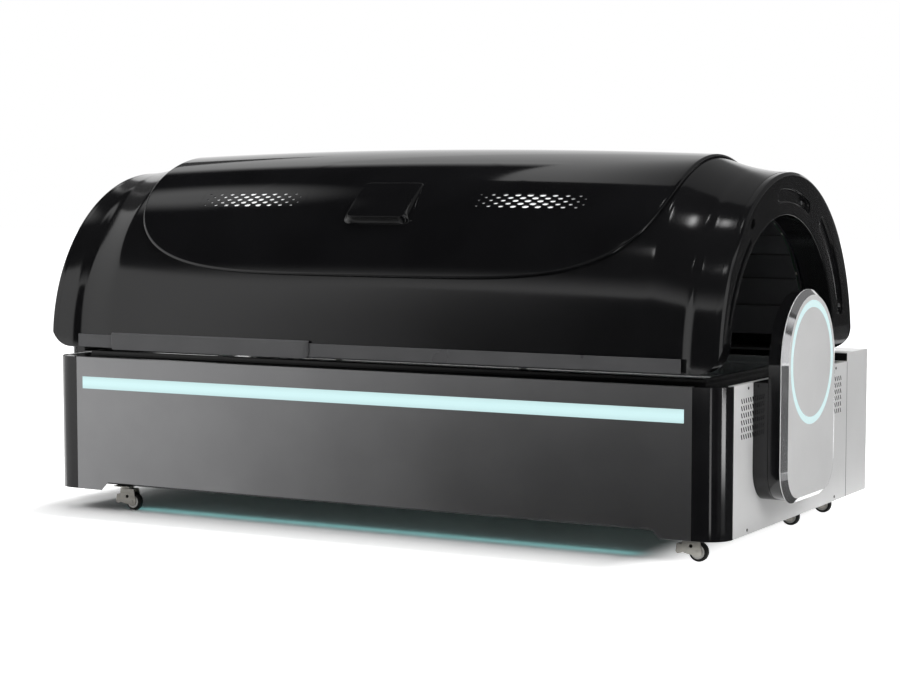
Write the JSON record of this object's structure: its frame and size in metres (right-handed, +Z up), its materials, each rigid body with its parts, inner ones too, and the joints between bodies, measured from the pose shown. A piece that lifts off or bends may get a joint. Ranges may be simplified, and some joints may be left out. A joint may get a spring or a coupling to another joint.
{
  "type": "red light therapy bed",
  "caption": "Lie-in light therapy bed: a cabinet on castors with a dished clear lying surface and a hinged arched canopy lined with light panels, held by gas springs.",
  "frame": {"origin": "middle of the bounding box on the floor under the castors", "axes": "+X along the bed to the right of someone facing its front, +Y to the rear where the canopy is hinged, +Z up"},
  "size_m": [2.39, 1.1852, 1.099],
  "materials": {
    "frame_paint": "satin",
    "front_grey": "satin",
    "gloss_black": "gloss",
    "silver_paint": "satin",
    "silver_plate": "satin",
    "light_strip": "matte",
    "ring_glow": "matte",
    "clear_acrylic": "gloss",
    "smoked_acrylic": "gloss",
    "circuit_board": "matte",
    "dark_plastic": "satin",
    "steel": "brushed",
    "zinc": "satin",
    "tread": "matte",
    "filter_white": "matte",
    "dark_frame": "matte",
    "case_metal": "satin"
  },
  "bodies": {
    "base": {"base_frame": "frame_paint", "front_panel": "front_grey", "strip_light": "light_strip", "corner_column_left": "gloss_black", "corner_column_right": "gloss_black", "side_panel_left": "silver_paint", "side_panel_right": "silver_paint", "panel_screws": "steel", "pillar_block_left": "gloss_black", "pillar_block_right": "gloss_black", "pillar_body_left": "gloss_black", "pillar_body_right": "gloss_black", "pillar_plate_left": "silver_plate", "pillar_plate_right": "silver_plate", "ring_light_left": "ring_glow", "ring_light_right": "ring_glow", "rear_housing": "silver_paint", "rear_cover": "silver_paint", "deck": "gloss_black", "bed_acrylic": "clear_acrylic", "bed_light_boards": "circuit_board", "power_supplies": "case_metal", "power_inlet": "dark_plastic", "castor_plates": "zinc", "hinge_brackets": "frame_paint", "hinge_pins": "steel"},
    "canopy": {"canopy_shell": "gloss_black", "canopy_cover": "gloss_black", "end_arch_left": "gloss_black", "end_arch_right": "gloss_black", "tunnel_acrylic": "smoked_acrylic", "canopy_light_boards": "circuit_board", "canopy_ribs": "dark_frame", "canopy_sills": "dark_frame", "lip_band": "dark_plastic", "grip_strip": "dark_plastic", "sensor_pod": "gloss_black", "vent_grilles": "dark_plastic", "filter_pads": "filter_white", "hinge_arms": "frame_paint"},
    "spring_cylinder_left": {"spring_cylinder_left": "gloss_black"},
    "spring_rod_left": {"spring_rod_left": "steel"},
    "spring_cylinder_right": {"spring_cylinder_right": "gloss_black"},
    "spring_rod_right": {"spring_rod_right": "steel"},
    "castor_fork_1": {"castor_fork_1": "zinc"},
    "castor_wheel_1": {"castor_wheel_1": "tread"},
    "castor_fork_2": {"castor_fork_2": "zinc"},
    "castor_wheel_2": {"castor_wheel_2": "tread"},
    "castor_fork_3": {"castor_fork_3": "zinc"},
    "castor_wheel_3": {"castor_wheel_3": "tread"},
    "castor_fork_4": {"castor_fork_4": "zinc"},
    "castor_wheel_4": {"castor_wheel_4": "tread"},
    "castor_fork_5": {"castor_fork_5": "zinc"},
    "castor_wheel_5": {"castor_wheel_5": "tread"},
    "castor_fork_6": {"castor_fork_6": "zinc"},
    "castor_wheel_6": {"castor_wheel_6": "tread"},
    "brake_pedal_1": {"brake_pedal_1": "zinc"},
    "brake_pedal_2": {"brake_pedal_2": "zinc"}
  },
  "joints": [
    {"name": "canopy_hinge", "type": "hinge", "parent": "base", "child": "canopy", "pos_m": [0, 0.52065, 0.47], "axis": [-1, 0, 0], "range_deg": [0, 40]},
    {"name": "spring_pivot_left", "type": "hinge", "parent": "base", "child": "spring_cylinder_left", "pos_m": [-0.675, 0.48533, 0.114], "axis": [1, 0, 0], "range_deg": [-0.5, 2]},
    {"name": "spring_slide_left", "type": "slide", "parent": "spring_cylinder_left", "child": "spring_rod_left", "axis": [0, 0, 1], "range_m": [0, 0.04]},
    {"name": "spring_pivot_right", "type": "hinge", "parent": "base", "child": "spring_cylinder_right", "pos_m": [0.725, 0.48533, 0.114], "axis": [1, 0, 0], "range_deg": [-0.5, 2]},
    {"name": "spring_slide_right", "type": "slide", "parent": "spring_cylinder_right", "child": "spring_rod_right", "axis": [0, 0, 1], "range_m": [0, 0.04]},
    {"name": "castor_swivel_1", "type": "hinge", "parent": "base", "child": "castor_fork_1", "pos_m": [0.966, -0.46935, 0.066], "axis": [0, 0, 1], "continuous": true},
    {"name": "castor_axle_1", "type": "hinge", "parent": "castor_fork_1", "child": "castor_wheel_1", "pos_m": [0.994, -0.46935, 0.027], "axis": [0, 1, 0], "continuous": true},
    {"name": "castor_swivel_2", "type": "hinge", "parent": "base", "child": "castor_fork_2", "pos_m": [-0.895, -0.46935, 0.066], "axis": [0, 0, 1], "continuous": true},
    {"name": "castor_axle_2", "type": "hinge", "parent": "castor_fork_2", "child": "castor_wheel_2", "pos_m": [-0.867, -0.46935, 0.027], "axis": [0, 1, 0], "continuous": true},
    {"name": "castor_swivel_3", "type": "hinge", "parent": "base", "child": "castor_fork_3", "pos_m": [0.966, 0.22765, 0.066], "axis": [0, 0, 1], "continuous": true},
    {"name": "castor_axle_3", "type": "hinge", "parent": "castor_fork_3", "child": "castor_wheel_3", "pos_m": [0.994, 0.22765, 0.027], "axis": [0, 1, 0], "continuous": true},
    {"name": "castor_swivel_4", "type": "hinge", "parent": "base", "child": "castor_fork_4", "pos_m": [-0.895, 0.22765, 0.066], "axis": [0, 0, 1], "continuous": true},
    {"name": "castor_axle_4", "type": "hinge", "parent": "castor_fork_4", "child": "castor_wheel_4", "pos_m": [-0.867, 0.22765, 0.027], "axis": [0, 1, 0], "continuous": true},
    {"name": "castor_swivel_5", "type": "hinge", "parent": "base", "child": "castor_fork_5", "pos_m": [0.966, 0.50765, 0.066], "axis": [0, 0, 1], "continuous": true},
    {"name": "castor_axle_5", "type": "hinge", "parent": "castor_fork_5", "child": "castor_wheel_5", "pos_m": [0.994, 0.50765, 0.027], "axis": [0, 1, 0], "continuous": true},
    {"name": "castor_swivel_6", "type": "hinge", "parent": "base", "child": "castor_fork_6", "pos_m": [-0.895, 0.50765, 0.066], "axis": [0, 0, 1], "continuous": true},
    {"name": "castor_axle_6", "type": "hinge", "parent": "castor_fork_6", "child": "castor_wheel_6", "pos_m": [-0.867, 0.50765, 0.027], "axis": [0, 1, 0], "continuous": true},
    {"name": "brake_pivot_1", "type": "hinge", "parent": "castor_fork_1", "child": "brake_pedal_1", "pos_m": [0.958, -0.46935, 0.038], "axis": [0, -1, 0], "range_deg": [0, 15]},
    {"name": "brake_pivot_2", "type": "hinge", "parent": "castor_fork_2", "child": "brake_pedal_2", "pos_m": [-0.903, -0.46935, 0.038], "axis": [0, -1, 0], "range_deg": [0, 15]}
  ],
  "couplings": [
    {"joint": "spring_pivot_left", "follows": "canopy_hinge", "ratio": 0.021},
    {"joint": "spring_pivot_right", "follows": "canopy_hinge", "ratio": 0.021},
    {"joint": "spring_slide_left", "follows": "canopy_hinge", "m_per_rad": 0.0376},
    {"joint": "spring_slide_right", "follows": "canopy_hinge", "m_per_rad": 0.0376}
  ]
}
